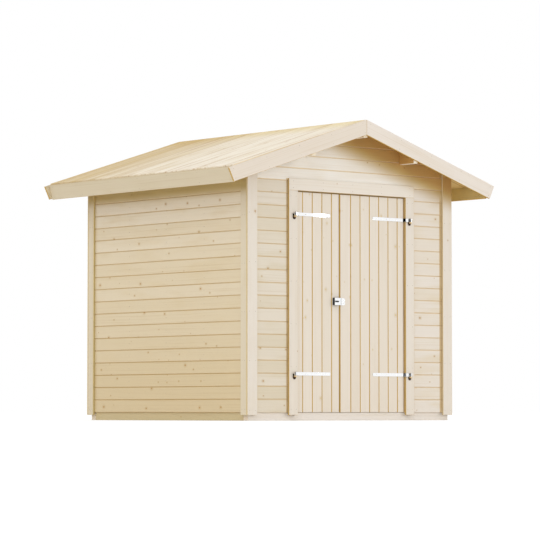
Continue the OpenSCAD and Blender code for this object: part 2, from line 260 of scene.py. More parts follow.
# painted light: the gable is made paler at its left and just over the door head trim, where shade falls
GABLE_PAINTED_LIGHT = {
    "x": (0.1, -0.3), "z": (head_trim.z + 0.05, head_trim.z + 0.015), "tint": (1.06, 1.09, 1.14, 1),
}
print("the gable shades the front", round(GABLE_SHADE["drop"], 3), "m down")

# %% The painted light and shade
DEEP_SHADE = (0.5, 1.4)


def paint_light_and_shade(coloured, rim, painted_shade, painted_light, ridge_tint):
    """A colour of wood with painted light, a golden band near the ridge and painted shade, each only where
    asked.
    """
    x, y, z = coloured.node("ShaderNodeTexCoord")["Object"].parts()
    if painted_light:
        # painted light, multiplied in at the gable's left and over the doors
        lit_share = x.ramp(*painted_light["x"]).most(z.ramp(*painted_light["z"]))
        coloured = lit_share.mix(coloured, painted_light["tint"], "MULTIPLY")
    if ridge_tint:
        near_ridge = x.most(0 - x).ramp(RIDGE_BAND, 0) * (1 - rim)
        coloured = near_ridge.mix(coloured, paint(ridge_tint), "MULTIPLY")
    if painted_shade:
        # painted shade where the roof's edge and the strips would cast their shadows
        out = x + painted_shade["lean"]
        shade_foot = UNDER_RIDGE - out.most(out * -painted_shade["left share"]) * SLOPE - painted_shade["drop"]
        into_shade = (z - shade_foot) / painted_shade["soft"]
        shade_share = into_shade.ramp(-1, 1)
        for strip in painted_shade["strips"]:
            place, on_front = (x, (0 - y) > 0) if strip["across"] == "x" else (y, 1)
            outside = (strip["edge"] - strip["reach"] - place).most(place - strip["edge"])
            beside = outside.ramp(strip["soft"], -strip["soft"]) * ((strip["top"] - z) > 0) * on_front
            shade_share = shade_share.most(beside * strip["depth"])
        coloured = (shade_share * (1 - rim)).mix(coloured, paint(painted_shade["tint"]), "MULTIPLY")
        if "deep tint" in painted_shade:
            deep = into_shade.ramp(*DEEP_SHADE) * (1 - rim)
            coloured = deep.mix(coloured, paint(painted_shade["deep tint"]), "MULTIPLY")
    return coloured


print("roof boards turn golden within", RIDGE_BAND, "m of the ridge")

# %% [markdown]
# ## Wood
# Spruce boards are pale, with fine lines along the grain, a few small knots, and no two boards of quite the
# same warmth. A picture of wood would repeat and would need unwrapping. Instead every board carries three
# attributes: `grain`, a point's place along, across and into its own board in metres, `tone`, one number for
# the whole board, and `rim`, which is 0 on a board's face and rises on its slanted and sawn edges, which get
# a yellow painted shade. Noise stretched along the grain draws the lines, broader noise the streaks of the
# roof boards, and a few cells of a Voronoi pattern become knots.

# %% Knots
KNOT_CELL = 0.12
KNOT_STRETCH = 0.8
KNOT_RADIUS, KNOT_GROWTH = 0.0025, 0.006
KNOT_RIM = (1.15, 0.55)
HALO_REACH, HALO_DEPTH = 3.5, 0.35


def knots(along, across, share):
    """Knots in a share of the pattern's cells: how much a place belongs to a knot, and to its halo."""
    cell = along.node("ShaderNodeTexVoronoi", {"voronoi_dimensions": "2D"},
                      {"Vector": along.vector(along * KNOT_STRETCH, across, 0), "Scale": 1 / KNOT_CELL})
    draw = cell.node("ShaderNodeSeparateColor", None, {0: cell["Color"]})
    radius = (draw["Green"] * draw["Green"] * KNOT_GROWTH + KNOT_RADIUS) * (draw["Red"] > 1 - share)
    reach = cell["Distance"] * KNOT_CELL
    knot = reach.ramp(radius * KNOT_RIM[0], radius * KNOT_RIM[1])
    return knot, reach.ramp(radius * HALO_REACH, radius) * HALO_DEPTH


print("knots are up to", round(2000 * (KNOT_RADIUS + KNOT_GROWTH)), "mm wide")

# %% The wood finish
WAVES = {"wander": (1.1, 6, 1), "rings": (0.8, 130, 3), "fibres": (14, 900, 2), "cloud": (2.2, 11, 2),
         "streaks": (0.8, 22, 4)}
WANDER = 0.03
LINE_STEP, STREAK_STEP, CLOUD_STEP = (0.5, 0.78), (0.5, 0.72), (0.45, 0.8)
CLOUD_DEPTH, FIBRE_DEPTH, KNOT_DEPTH = 0.5, 0.12, 0.85
# yellow painted shade on slanted and sawn edges, board ends and grooves, lighter for the door boards
EDGE_SHADE_TINT = "#dfc482"
END_SHADE_TINT = "#fbde9d"
BOARD_EDGE_SHADE_TINT = "#e8cb7c"
# yellow painted shade on the undersides of the roof boards
UNDERSIDE_SHADE_TINT = "#f0dba4"


def empty_material(name):
    """A new material without nodes, and a wire to build its tree with."""
    material = bpy.data.materials.new(name)
    material.use_nodes = True
    material.node_tree.nodes.clear()
    return material, Wire(material.node_tree)


def wood(name, pale, warm, line, knot_share=0.1, knot_colour="#b4854e", line_depth=0.25, streak_depth=0.0,
         edge_shade_tint=EDGE_SHADE_TINT, painted_shade=None, painted_light=None, ridge_tint=None):
    """A planed, untreated wood whose boards range from pale to warm."""
    material, bench = empty_material(name)
    grain = bench.node("ShaderNodeAttribute", {"attribute_name": "grain"})["Vector"]
    tone = bench.node("ShaderNodeAttribute", {"attribute_name": "tone"})["Fac"]
    rim = bench.node("ShaderNodeAttribute", {"attribute_name": "rim"})["Fac"]
    along, across, depth = grain.parts()

    def noise(kind, sideways=across):
        lengthwise, crosswise, detail = WAVES[kind]
        place = bench.vector(along * lengthwise, sideways * crosswise, depth * crosswise)
        return bench.node("ShaderNodeTexNoise", None, {"Vector": place, "Scale": 1, "Detail": detail})

    rings = noise("rings", across + (noise("wander") - 0.5) * WANDER)
    fibres = noise("fibres")
    knot, halo = knots(along, across, knot_share)
    lines = rings.ramp(*LINE_STEP) * line_depth + noise("streaks").ramp(*STREAK_STEP) * streak_depth
    coloured = tone.mix(paint(pale), paint(warm))
    coloured = (noise("cloud").ramp(*CLOUD_STEP) * CLOUD_DEPTH).mix(coloured, paint(warm))
    coloured = (lines + (fibres - 0.5) * FIBRE_DEPTH).mix(coloured, paint(line))
    coloured = halo.mix(coloured, paint(line))
    coloured = (knot * KNOT_DEPTH).mix(coloured, paint(knot_colour))
    # painted shade on the edges, as much as the rim says
    coloured = rim.mix(coloured, paint(edge_shade_tint), "MULTIPLY")
    # painted light and shade, where a finish asks for them
    coloured = paint_light_and_shade(coloured, rim, painted_shade, painted_light, ridge_tint)
    height = rings * 0.5 + fibres * 0.4 - knot * 0.5
    bump = bench.node("ShaderNodeBump", None, {"Strength": 0.12, "Distance": 0.001, "Height": height})
    surface = bench.node("ShaderNodeBsdfPrincipled", None, {
        "Base Color": coloured, "Roughness": 0.62 + rings * 0.16, "Normal": bump, "Specular IOR Level": 0.3})
    bench.node("ShaderNodeOutputMaterial", None, {"Surface": surface})
    return material


print("waves along and across the grain:", {kind: waves[:2] for kind, waves in WAVES.items()})

# %% Mix the wood finishes for the walls and the doors
# front boards: a yellow painted shade on their ends, and the painted shade of the gable and beside the
# strips
FRONT_BOARD = {"edge_shade_tint": END_SHADE_TINT, "painted_shade": WALL_SHADE}
wall_wood = wood("wall_wood", "#e4dbcf", "#dac9a9", "#c4aa7a", knot_share=0.24, **FRONT_BOARD)
left_front_wood = wood("left_front_wood", "#e4dbce", "#d2c4a6", "#bda676", knot_share=0.16, **FRONT_BOARD)
# a paler copy of the wall wood for the gable, painted light against the shade under the overhang
gable_wood = wood("gable_wood", "#ebe3d6", "#e0d3bd", "#c4aa7a", knot_share=0.16, painted_light=GABLE_PAINTED_LIGHT,
                  **FRONT_BOARD)
# a warmer copy of the wall wood for the side walls, standing in for the warm shade on the sides: painted
# shade, with the eave's painted shade on top
side_wood = wood("side_wood", "#e6dac4", "#d9c6a1", "#bd9f69", knot_share=0.25, painted_shade=EAVE_SHADE)
door_wood = wood("door_wood", "#e5dbcd", "#e0d4c2", "#cfbb98", knot_share=0.26, knot_colour="#dac283",
                 line_depth=0.18, edge_shade_tint=BOARD_EDGE_SHADE_TINT)
# the cover strips get the gable's painted shade too
STRIP = {"knot_share": 0.05, "line_depth": 0.18, "painted_shade": GABLE_SHADE}
trim_wood = wood("trim_wood", "#e3dacd", "#dfd3c1", "#cfba96", **STRIP)
# a paler copy of the trim wood for the head trim, painted light against the shade over the doors
head_wood = wood("head_wood", "#e9e1d5", "#e5dac9", "#cfba96", **STRIP)
corner_wood = wood("corner_wood", "#e3dacd", "#dfd3c1", "#cfba96", edge_shade_tint="#f0e3bf", **STRIP)
# a warmer, darker copy of the trim wood for the side corner strips: painted shade
side_trim_wood = wood("side_trim_wood", "#ddd0b7", "#d8c8a9", "#bfa577", knot_share=0.08,
                      edge_shade_tint="#f2eabb", painted_shade=EAVE_SHADE)
print("finishes so far:", [m.name for m in bpy.data.materials if m.name.endswith("_wood")])

# %% Mix the wood finishes for the roof, the base and the frame
verge_wood = wood("verge_wood", "#e6dcd0", "#e1d4c2", "#c8b08a", knot_share=0.05, line_depth=0.36)
# a darker copy of the verge wood for the bargeboards' faces toward the shed: painted shade
verge_back_wood = wood("verge_back_wood", "#e2d5b6", "#d9c9a8", "#bfa577")
# a deep yellow copy of the wood for faces toward the shed under the roof's edge: painted shade
soffit_wood = wood("soffit_wood", "#e4d096", "#dcc68a", "#c9a25c")
# a darker, yellower copy of the trim wood for the fascias, which face the side: painted shade
eave_wood = wood("eave_wood", "#d7c9ae", "#cfbf9f", "#b59b6c", knot_share=0.08)
roof_wood = wood("roof_wood", "#f9f0df", "#d7bf8e", "#c6a67a", knot_share=0.15, line_depth=0.3,
                 streak_depth=0.75, edge_shade_tint=UNDERSIDE_SHADE_TINT, ridge_tint="#f6edcd")
# the purlins get the gable's painted shade on their sides
purlin_wood = wood("purlin_wood", "#faf1df", "#efe0c0", "#b08c55", edge_shade_tint="#ffffff",
                   painted_shade=GABLE_SHADE)
base_wood = wood("base_wood", "#e7dfd6", "#e3d8c6", "#c8b084", knot_share=0.06, line_depth=0.2,
                 edge_shade_tint="#fff8ec")
# a darker, yellower copy of the base wood for the side beams: painted shade
side_base_wood = wood("side_base_wood", "#d1c19a", "#c9b68c", "#b3965f")
frame_wood = wood("frame_wood", "#dcc596", "#cfae77", "#a67c45", knot_share=0.2, edge_shade_tint="#f4e8d4")
print("wood finishes:", len([m for m in bpy.data.materials if m.name.endswith("_wood")]))

# %% [markdown]
# ## One board
# A wall board is a long strip with its two front edges planed off at a slant, so that two boards side by
# side leave a V-shaped groove. It is drawn once, one metre long and as wide as it covers, and every wall,
# door and floor repeats it. X runs along the board, Y goes into the wall, and Z runs across the boards.

# %% Draw a board
GROOVE_W = 0.010
GROOVE_D = 0.004
BUTT_GAP = 0.0006


def mesh_of(name, bm):
    """The shape that was built, as a new mesh."""
    mesh = bpy.data.meshes.new(name)
    bm.to_mesh(mesh)
    bm.free()
    return mesh


def board_mesh(thickness, cover=BOARD_COVER, groove_w=GROOVE_W, groove_d=GROOVE_D,
               edge_shade=0.3, back_shade=0.0, end_shade=0.0):
    """A board of unit length whose section has two chamfered front edges."""
    low, high, slant = BUTT_GAP / 2, cover - BUTT_GAP / 2, groove_w / 2
    section = [(0, slant), (groove_d, low), (thickness, low),
               (thickness, high), (groove_d, high), (0, cover - slant)]
    # how much painted shade each face of the section gets: the slants and sides, the back, and none on the
    # front
    side_shades = [edge_shade, edge_shade, back_shade, edge_shade, edge_shade, 0.0]
    bm = bmesh.new()
    rim = bm.faces.layers.float.new("rim")
    ends = [[bm.verts.new((x, y, z)) for y, z in section] for x in (0, 1)]
    for i, side_shade in enumerate(side_shades):
        j = (i + 1) % len(section)
        bm.faces.new((ends[0][i], ends[0][j], ends[1][j], ends[1][i]))[rim] = side_shade
    for end in ends:
        bm.faces.new(end)[rim] = end_shade
    bmesh.ops.recalc_face_normals(bm, faces=bm.faces)
    return mesh_of("board", bm)


wall_board = board_mesh(CLAD_T, edge_shade=0.45, end_shade=1.0)
print("a wall board has", len(wall_board.polygons), "faces")

# %% [markdown]
# ## Rows of boards
# Boards repeat by a rule, so Geometry Nodes lay them: one point for each board, one board on each point, and
# then every corner is moved to where the row's sizes put it. The first and last boards are ripped to the
# width that is left. On a gable the ends follow the slope of the roof, and on the roof the upper ends are
# mitred at the ridge. Tones drift from the first board to the last, and each board draws its own difference
# from that and its own stretch of grain.

# %% A tree with named sizes
INT, FLOAT, VECTOR, FINISH = ("NodeSocket" + kind for kind in ("Int", "Float", "Vector", "Material"))


def new_tree(name, repeated, sizes, result):
    """An empty tree that takes a repeated shape and named sizes, and the identifiers of those sizes."""
    tree = bpy.data.node_groups.new(name, "GeometryNodeTree")
    tree.interface.new_socket(repeated, in_out="INPUT", socket_type="NodeSocketGeometry")
    sockets = {size: tree.interface.new_socket(size, in_out="INPUT", socket_type=kind).identifier
               for size, kind in sizes.items()}
    tree.interface.new_socket(result, in_out="OUTPUT", socket_type="NodeSocketGeometry")
    return tree, sockets


def grow(name, mesh, tree, sockets, sizes):
    """A new object made by a tree from a repeated shape and sizes, as a plain mesh without modifiers."""
    piece = add_object(name, mesh)
    modifier = piece.modifiers.new(name, "NODES")
    modifier.node_group = tree
    for size, value in sizes.items():
        modifier[sockets[size]] = value
    depsgraph = bpy.context.evaluated_depsgraph_get()
    grown = bpy.data.meshes.new_from_object(piece.evaluated_get(depsgraph), depsgraph=depsgraph)
    piece.modifiers.clear()
    piece.data = grown
    return piece


print("sizes can be", INT, FLOAT, VECTOR, "or", FINISH)

# %% The node tree for a row
ROW_SIZES = {
    "Count": INT, "Seed": INT, "Cover": FLOAT, "First joint": FLOAT, "Row low": FLOAT, "Row high": FLOAT,
    "Start": FLOAT, "End": FLOAT, "Ridge": FLOAT, "Slope": FLOAT, "Mitre": FLOAT,
    "Tone first": FLOAT, "Tone last": FLOAT, "Tone spread": FLOAT, "Finish": FINISH,
}
UNEVENNESS = 0.0004
GRAIN_REACH = 40


def row_tree():
    tree, sockets = new_tree("row_of_boards", "Board", ROW_SIZES, "Row")
    bench = Wire(tree)
    given = bench.node("NodeGroupInput")

    def keep(geometry, name, value, kind="FLOAT"):
        return bench.node("GeometryNodeStoreNamedAttribute", {"data_type": kind},
                          {"Geometry": geometry, "Name": name, "Value": value})

    def kept(name, kind="FLOAT"):
        return bench.node("GeometryNodeInputNamedAttribute", {"data_type": kind}, {"Name": name})

    def draw(low, high, offset, kind="FLOAT"):
        return bench.node("FunctionNodeRandomValue", {"data_type": kind},
                          {"Min": low, "Max": high, "Seed": given["Seed"] + offset})

    index = bench.node("GeometryNodeInputIndex")
    joint_below = given["First joint"] + (index - 1) * given["Cover"]
    low = given["Row low"] + (index > 0) * (joint_below - given["Row low"])
    high = (joint_below + given["Cover"]).least(given["Row high"])
    points = bench.node("GeometryNodeMeshLine", None, {"Count": given["Count"], "Offset": (0, 0, 0)})
    points = keep(points, "low", low)
    points = keep(points, "width", high - low)
    drift = index / (given["Count"] - 1) * (given["Tone last"] - given["Tone first"])
    points = keep(points, "tone", given["Tone first"] + drift + draw(-1, 1, 1) * given["Tone spread"])
    points = keep(points, "uneven", draw(-UNEVENNESS, UNEVENNESS, 2))
    points = keep(points, "shift", draw((0, 0, 0), (GRAIN_REACH,) * 3, 3, "FLOAT_VECTOR"), "FLOAT_VECTOR")
    laid = bench.node("GeometryNodeInstanceOnPoints", None, {"Points": points, "Instance": given["Board"]})
    boards = bench.node("GeometryNodeRealizeInstances", None, {"Geometry": laid})

    share, depth, width = bench.node("GeometryNodeInputPosition").parts()
    upper_half = width > given["Cover"] * 0.5
    across = kept("low") + width + upper_half * (kept("width") - given["Cover"])
    limit = (given["Ridge"] - across) / given["Slope"]
    straight = given["Start"] + share * (given["End"] - given["Start"])
    mitred = straight + given["Mitre"] * depth * (1 - share)
    along = mitred.least(limit).most(0 - limit)
    placed = bench.vector(along, depth + kept("uneven"), across)
    boards = bench.node("GeometryNodeSetPosition", None, {"Geometry": boards, "Position": placed})
    shift_x, shift_y, shift_z = kept("shift", "FLOAT_VECTOR").parts()
    x, y, z = bench.node("GeometryNodeInputPosition").parts()
    boards = keep(boards, "grain", bench.vector(x + shift_x, z + shift_y, y + shift_z), "FLOAT_VECTOR")
    boards = bench.node("GeometryNodeSetMaterial", None, {"Geometry": boards, "Material": given["Finish"]})
    bench.node("NodeGroupOutput", None, {"Row": boards})
    return tree, sockets


row_nodes, row_sockets = row_tree()
print("the row tree has", len(row_nodes.nodes), "nodes")

# %% Lay a row
NO_SLOPE = {"Ridge": 1000.0, "Slope": 1.0}
SEEDS = 10000
row_seeds = random.Random(7)


def panel(origin, along, into):
    """The place of a panel whose boards run along one direction and face away from another."""
    along, into = Vector(along).normalized(), Vector(into).normalized()
    place = Matrix((along, into, along.cross(into))).transposed().to_4x4()
    return Matrix.Translation(origin) @ place


def lay_row(place, board, finish, row, ends, first_joint, cover=BOARD_COVER, tones=(0.5, 0.5, 0.3),
            slope=None, mitre=0.0):
    """One row of boards as a new object, laid in a panel's own axes and then put in its place.

    The tones are those of the first and the last board, and how far each board may be from them.
    """
    count = 1 + max(0, math.ceil((row[1] - first_joint) / cover - 1e-6))
    sizes = {
        "Count": count, "Seed": row_seeds.randrange(SEEDS), "Cover": cover, "First joint": first_joint,
        "Row low": row[0], "Row high": row[1], "Start": ends[0], "End": ends[1], "Mitre": mitre,
        "Tone first": tones[0], "Tone last": tones[1], "Tone spread": tones[2], "Finish": finish,
        **(slope or NO_SLOPE),
    }
    piece = grow("row", board, row_nodes, row_sockets, sizes)
    attributes = piece.data.attributes
    for helper in ("low", "width", "uneven", "shift"):
        attributes.remove(attributes[helper])
    piece.data.transform(place)
    return piece


def join_rows(name, rows):
    """Several rows as one named piece."""
    first = rows[0]
    with bpy.context.temp_override(active_object=first, selected_editable_objects=rows):
        bpy.ops.object.join()
    first.name = name
    return first


def dress(piece, body, slot, *nodes):
    """Let a finished piece move with its body and stand for the nodes that it covers."""
    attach(piece, body)
    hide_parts(*nodes)
    print(piece.name, "stands for", ", ".join(nodes), "with", len(piece.data.polygons), "faces")


print("rows are laid with", ", ".join(row_sockets))

# %% [markdown]
# ## Wall boards
# The walls are boarded from the base up. The lowest board is a little wider than the others, and all four
# walls have their joints at the same heights. In the gable the boards grow warmer upwards, and on the side
# walls they grow paler.

# %% Board the walls
gable_cut = {"Ridge": UNDER_RIDGE, "Slope": SLOPE}
FOOT_CHAMFER = 0.001
front = panel((0, -WALL_Y, 0), (1, 0, 0), (0, 1, 0))
back = panel((0, WALL_Y, 0), (-1, 0, 0), (0, -1, 0))
left = panel((-WALL_X, 0, 0), (0, -1, 0), (1, 0, 0))
right = panel((WALL_X, 0, 0), (0, 1, 0), (-1, 0, 0))


def square_foot(row):
    """Leave hardly any chamfer under the lowest board, which stands on the base."""
    for vertex in row.data.vertices:
        if vertex.co.z < WALL_FOOT + GROOVE_W:
            vertex.co.z = min(vertex.co.z, WALL_FOOT + FOOT_CHAMFER)


front_rows = [
    lay_row(front, wall_board, left_front_wood, (WALL_FOOT, HEAD_JOINT), (-WALL_X, -DOOR_X), FIRST_JOINT,
            tones=(0.5, 0.3, 0.2)),
    lay_row(front, wall_board, wall_wood, (WALL_FOOT, HEAD_JOINT), (DOOR_X, WALL_X), FIRST_JOINT,
            tones=(0.1, 0.1, 0.2)),
    lay_row(front, wall_board, wall_wood, (DOOR_HEAD, HEAD_JOINT), (-DOOR_X, DOOR_X), HEAD_JOINT,
            tones=(0.2, 0.2, 0.1)),
    lay_row(front, wall_board, gable_wood, (HEAD_JOINT, UNDER_RIDGE), (-WALL_X, WALL_X),
            HEAD_JOINT + BOARD_COVER, tones=(0.0, 0.45, 0.15), slope=gable_cut),
]
for row in front_rows:
    square_foot(row)
front_boards = join_rows("front_wall_boards", front_rows)
dress(front_boards, "shed", "wall_wood", "front_wall_left", "front_wall_right", "front_gable")
back_boards = join_rows("back_wall_boards", [
    lay_row(back, wall_board, wall_wood, (WALL_FOOT, UNDER_RIDGE), (-WALL_X, WALL_X), FIRST_JOINT,
            tones=(0.5, 0.3, 0.25), slope=gable_cut)])
dress(back_boards, "shed", "wall_wood", "back_wall")
for side, place in (("left", left), ("right", right)):
    row = lay_row(place, wall_board, side_wood, (WALL_FOOT, left_high.z), (left_low.y, left_high.y),
                  FIRST_JOINT, tones=(1.25, -0.05, 0.2))
    dress(join_rows(side + "_wall_boards", [row]), "shed", "wall_wood", side + "_wall")

# %% [markdown]
# ## Door boards
# Each leaf is a row of upright boards. They are counted from the meeting edge, where the outer board of
# either leaf is ripped to its own width, so the panel's origin is put at that edge. Where the leaves meet,
# the wide leaf's edge has a deeper bevel than the narrow leaf's, as joiners do so that one leaf swings past
# the other. The boards hang a little below the frame's leaf and leave a fine slit above the base.

# %% Board the doors
EDGE_BOARDS = {"left": 0.088, "right": 0.125}
MEETING_WAY = {"left": 1, "right": -1}
MEETING_BEVEL = {"left": (0.0055, 0.0055), "right": (0.007, 0.009)}
FOOT_REACH = 0.0025


def bevel_meeting_edge(piece, meeting, way, face, bevel):
    """Plane the slant at a leaf's meeting edge to a width and a depth of its own."""
    width, depth = bevel
    for vertex in piece.data.vertices:
        inwards = way * (meeting - vertex.co.x)
        behind = vertex.co.y - face
        if inwards < GROOVE_W and behind < GROOVE_D + 2 * UNEVENNESS:
            if behind > GROOVE_D / 2:
                vertex.co.y = face + depth
            else:
                vertex.co.x = meeting - way * width


for side, edge_board in EDGE_BOARDS.items():
    low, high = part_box(side + "_door")
    leaf_board = board_mesh(high.y - low.y, edge_shade=1.0)
    meeting = high.x if side == "left" else low.x
    way = MEETING_WAY[side]
    place = panel((meeting, low.y, 0), (0, 0, way), (0, 1, 0))
    foot = low.z - FOOT_REACH
    ends = (foot, high.z) if way > 0 else (-high.z, -foot)
    row = lay_row(place, leaf_board, door_wood, (0, high.x - low.x), ends, edge_board, tones=(0.3, 0.3, 0.3))
    bevel_meeting_edge(row, meeting, way, low.y, MEETING_BEVEL[side])
    dress(join_rows(side + "_door_boards", [row]), side + "_leaf", "door_wood", side + "_door")

# %% [markdown]
# ## Roof and floor boards
# The roof is bare boards that run from the ridge down to the eaves, close together, with only a fine line at
# each joint. They are palest at the front and golden near the ridge, and their undersides get a yellow
# painted shade. The floor has such boards too.

# %% Board the roof and the floor
ROOF_COVER = 0.096
FINE_JOINT = {"groove_w": 0.003, "groove_d": 0.0012}
ROOF_T = (RIDGE - UNDER_RIDGE) * math.cos(PITCH)
deck_y = -roof_low.y
slope_length = roof_high.x / math.cos(PITCH)
# the undersides of the roof boards get the full painted shade
roof_board = board_mesh(ROOF_T, ROOF_COVER, back_shade=1.0, **FINE_JOINT)
FRONT_TONE, REAR_TONE, TONE_SPREAD = -0.9, 1.1, 0.2
for side, way, tones in (("left", -1, (REAR_TONE, FRONT_TONE)), ("right", 1, (FRONT_TONE, REAR_TONE))):
    down_slope = (way * math.cos(PITCH), 0, -math.sin(PITCH))
    into_roof = (-way * math.sin(PITCH), 0, -math.cos(PITCH))
    place = panel((0, 0, RIDGE), down_slope, into_roof)
    row = lay_row(place, roof_board, roof_wood, (-deck_y, deck_y), (0, slope_length), ROOF_COVER - deck_y,
                  cover=ROOF_COVER, tones=(*tones, TONE_SPREAD), mitre=math.tan(PITCH))
    dress(join_rows(side + "_roof_boards", [row]), "shed", "roof_wood", side + "_roof")

floor_low, floor_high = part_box("floor")
floor_board = board_mesh(floor_high.z - floor_low.z, **FINE_JOINT)
place = panel((0, 0, floor_high.z), (1, 0, 0), (0, 0, -1))
row = lay_row(place, floor_board, frame_wood, (floor_low.y, floor_high.y), (floor_low.x, floor_high.x),
              floor_low.y + BOARD_COVER)
dress(join_rows("floor_boards", [row]), "shed", "frame_wood", "floor")

# %% [markdown]
# ## Timbers
# Posts, plates, purlins, cover strips and door ledges are single timbers, and the frame already has their
# shape. A copy of each gets its edges eased, because no planed timber has a knife edge. The longest edge of
# a timber tells which way its grain runs, and the largest face tells which way is across it. Opposite edges
# and faces are equal, so a fixed direction settles which of them counts. The other faces get a yellow
# painted shade, except those that look up, where the light falls.

# %% Ease a timber's edges
EASED = 0.0018
MERGED = 1e-5
FLAT_ANGLE = math.radians(0.5)
SHARP_ANGLE = math.radians(35)


def merged_copy(node):
    """A node's loose triangles as a mesh of whole flat faces."""
    bm = bmesh.new()
    bm.from_mesh(frame["nodes"][node].data)
    bmesh.ops.remove_doubles(bm, verts=bm.verts, dist=MERGED)
    bmesh.ops.dissolve_limit(bm, angle_limit=FLAT_ANGLE, verts=bm.verts, edges=bm.edges)
    return bm


def ease_edges(bm, width, segments=2):
    sharp = [e for e in bm.edges if len(e.link_faces) == 2 and e.calc_face_angle() > SHARP_ANGLE]
    bmesh.ops.bevel(bm, geom=sharp, offset=width, segments=segments, profile=0.5, affect="EDGES",
                    clamp_overlap=True)


def solids_of(bm):
    """The separate solids of a mesh, each as a set of its corners, in the order of their middles."""
    left_over, solids = set(bm.verts), []
    while left_over:
        solid, reached = set(), [next(iter(left_over))]
        while reached:
            vertex = reached.pop()
            if vertex not in solid:
                solid.add(vertex)
                reached.extend(e.other_vert(vertex) for e in vertex.link_edges)
        left_over -= solid
        solids.append(solid)
    return sorted(solids, key=lambda s: [round(math.fsum(v.co[i] for v in s) / len(s), 3) for i in range(3)])


print("edges sharper than", round(math.degrees(SHARP_ANGLE)), "degrees are eased")

# %% Draw grain on a timber
FACE_COSINE = 0.95
# faces that look up this much get no painted shade
TOP_COSINE = 0.2
TIE_BREAK = Vector((1, 1.6, 2.7))
timber_draws = random.Random(21)


def draw_grain(bm, tones):
    """Give every solid a stretch of grain along its longest edge, a tone of its own and painted shade on its
    edges.
    """
    grain = bm.verts.layers.float_vector.new("grain")
    tone = bm.verts.layers.float.new("tone")
    rim = bm.faces.layers.float.new("rim")
    for solid in solids_of(bm):
        faces = {f for v in solid for f in v.link_faces}
        edges = {e for v in solid for e in v.link_edges}
        longest = max(edges, key=lambda e: (e.calc_length(), -sum(v.co.dot(TIE_BREAK) for v in e.verts)))
        widest = max(faces, key=lambda f: (f.calc_area(), f.normal.dot(TIE_BREAK))).normal.copy()
        along = (longest.verts[1].co - longest.verts[0].co).normalized()
        across = widest.cross(along)
        shift = Vector([timber_draws.uniform(0, GRAIN_REACH) for _ in range(3)])
        board_tone = timber_draws.uniform(*tones)
        for vertex in solid:
            place = vertex.co
            vertex[grain] = shift + Vector((place.dot(along), place.dot(across), place.dot(widest)))
            vertex[tone] = board_tone
        for face in faces:
            # painted shade on every face but the widest ones and those that look up
            face[rim] = float(abs(face.normal.dot(widest)) < FACE_COSINE and face.normal.z < TOP_COSINE)


def timber(node, finish, slot, body="shed", tones=(0, 1), inner=None):
    """A node's timbers with eased edges and grain, and with another finish where they face the shed, here a
    painted shade.
    """
    bm = merged_copy(node)
    ease_edges(bm, EASED)
    draw_grain(bm, tones)
    mesh = mesh_of(node, bm)
    mesh.materials.append(finish)
    if inner:
        mesh.materials.append(inner)
        inwards = [face.normal.xy.dot(face.center.xy) < 0 for face in mesh.polygons]
        mesh.polygons.foreach_set("material_index", [int(inside) for inside in inwards])
    dress(add_object(node + "_timber", mesh), body, slot, node)


print("timber edges are eased by", EASED * 1000, "mm")

# %% Dress the timbers
timber("base_cross_beams", base_wood, "base_wood", tones=(0, 0.2))
timber("base_side_beams", side_base_wood, "base_wood")
timber("floor_joists", base_wood, "base_wood")
for node in ("corner_posts", "bottom_plates", "wall_studs", "top_plates", "back_rail", "door_posts",
             "door_header", "door_side_stops", "door_head_stop", "gable_posts"):
    timber(node, frame_wood, "frame_wood")
for node in ("ridge_purlin", "side_purlins"):
    timber(node, purlin_wood, "frame_wood")
# faces toward the shed get these darker copies as painted shade
timber("eave_fascias", eave_wood, "trim_wood", tones=(0, 0.3), inner=soffit_wood)
timber("left_bargeboards", verge_wood, "trim_wood", tones=(0.45, 0.75), inner=verge_back_wood)
timber("right_bargeboards", verge_wood, "trim_wood", tones=(0, 0.3), inner=soffit_wood)
for node, finish in (("gable_corner_trims", corner_wood), ("side_corner_trims", side_trim_wood),
                     ("door_side_trims", trim_wood), ("door_head_trim", head_wood)):
    timber(node, finish, "trim_wood", tones=(0, 0.3))
for side in ("left", "right"):
    for part in ("_door_ledges", "_door_braces"):
        timber(side + part, door_wood, "door_wood", side + "_leaf")

# %% [markdown]
# ## Zinc-plated iron
# The straps and the hasp's face are bright zinc over steel, nearly white and a little cloudy, so the finish
# is a polished metal whose roughness drifts slowly. The pins are passivated yellow, the plates that carry
# them are painted dark brown as a painted dark reflection, and the inside of the hasp is painted nearly
# black as painted shade. Such a node of the ironwork gets two finishes: one up to a given depth behind its
# front, and another behind that. The edges are eased by half a millimetre to catch the light.

# %% The zinc finish
CLOUDS_PER_M, GRIT_PER_M = 60, 900


def zinc(name, bright, dull, metallic, roughness):
    """Plated steel that is cloudy between two colours."""
    material, bench = empty_material(name)
    place = bench.node("ShaderNodeTexCoord")["Object"]
    cloud = bench.node("ShaderNodeTexNoise", None, {"Vector": place, "Scale": CLOUDS_PER_M, "Detail": 3})
    grit = bench.node("ShaderNodeTexNoise", None, {"Vector": place, "Scale": GRIT_PER_M, "Detail": 2})
    colour = cloud.mix(paint(bright), paint(dull))
    bump = bench.node("ShaderNodeBump", None, {"Strength": 0.08, "Distance": 0.0005, "Height": grit})
    surface = bench.node("ShaderNodeBsdfPrincipled", None, {
        "Base Color": colour, "Metallic": metallic, "Roughness": roughness + cloud * 0.08, "Normal": bump})
    bench.node("ShaderNodeOutputMaterial", None, {"Surface": surface})
    return material


zinc_steel = zinc("zinc_steel", "#fdfdfd", "#f2f4f6", metallic=1, roughness=0.05)
# painted dark reflection: a dark brown metal for the hook plates, in place of zinc mirroring dark
# surroundings
dark_steel = zinc("dark_steel", "#4a3018", "#2a1a0c", metallic=1, roughness=0.45)
